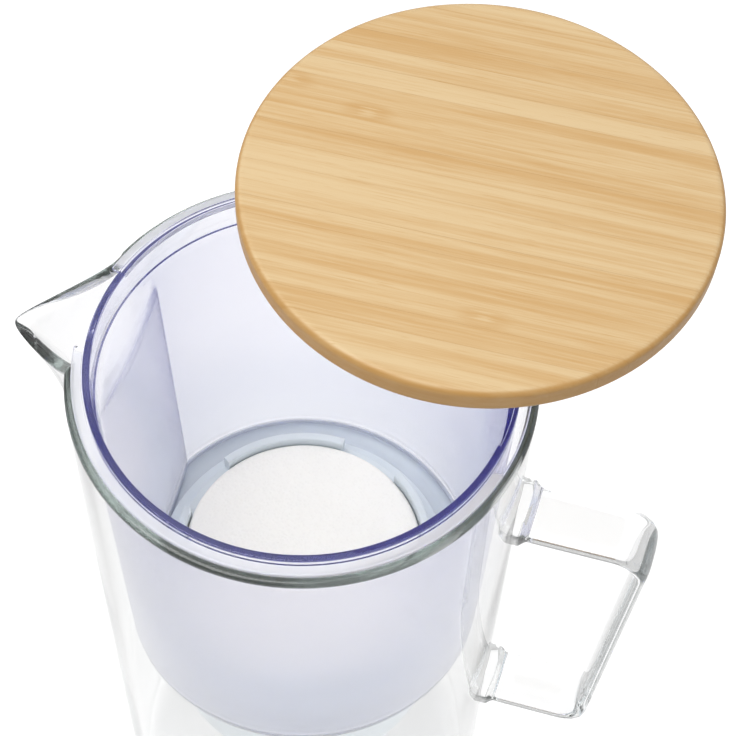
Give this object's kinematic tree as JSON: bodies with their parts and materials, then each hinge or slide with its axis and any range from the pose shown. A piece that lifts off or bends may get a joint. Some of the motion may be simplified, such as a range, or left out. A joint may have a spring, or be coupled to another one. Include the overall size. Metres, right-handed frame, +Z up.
{
  "type": "glass water filter pitcher",
  "caption": "Straight glass jug with a drawn spout and a strip handle, holding a clear blue-tinted funnel, a filter cartridge with a foam pad, and a round bamboo lid.",
  "frame": {"origin": "centre of the jug's flat base", "axes": "+Z up along the jug's axis, +X towards the handle, -X towards the spout"},
  "size_m": [0.1943, 0.1639, 0.326],
  "materials": {
    "clear_glass": "clear fire-polished glass, green-grey at the edges",
    "tinted_plastic": "clear lilac-blue plastic, deep blue along its edges",
    "bamboo": "laminated bamboo strips, oiled satin",
    "silicone": "soft milky silicone",
    "cartridge_plastic": "grey-blue moulded plastic, satin",
    "foam": "white open-cell foam",
    "fleece": "white pressed fleece",
    "carbon": "black granules",
    "mineral": "buff granules",
    "resin": "amber beads"
  },
  "bodies": {
    "jug": {"glass_jug": "clear_glass", "glass_handle": "clear_glass"},
    "funnel": {"funnel": "tinted_plastic"},
    "cartridge": {"cartridge_shell": "cartridge_plastic", "cartridge_cap": "cartridge_plastic", "cartridge_seal": "silicone", "top_fleece": "fleece", "carbon_bed": "carbon", "upper_fleece": "fleece", "mineral_bed": "mineral", "lower_fleece": "fleece", "resin_bed": "resin", "bottom_fleece": "fleece"},
    "filter_pad": {"filter_pad": "foam"},
    "lid": {"lid_board": "bamboo", "lid_plug": "bamboo", "lid_gasket": "silicone"}
  },
  "joints": [
    {"name": "funnel_lift", "type": "slide", "parent": "jug", "child": "funnel", "axis": [0, 0, 1], "range_m": [0, 0.19]},
    {"name": "lid_lift", "type": "slide", "parent": "funnel", "child": "lid", "axis": [0.5459, 0.5444, 0.6369], "range_m": [-0.06595, 0]},
    {"name": "cartridge_lift", "type": "slide", "parent": "funnel", "child": "cartridge", "axis": [0, 0, 1], "range_m": [0, 0.06]},
    {"name": "pad_lift", "type": "slide", "parent": "cartridge", "child": "filter_pad", "axis": [0, 0, 1], "range_m": [0, 0.02]}
  ]
}
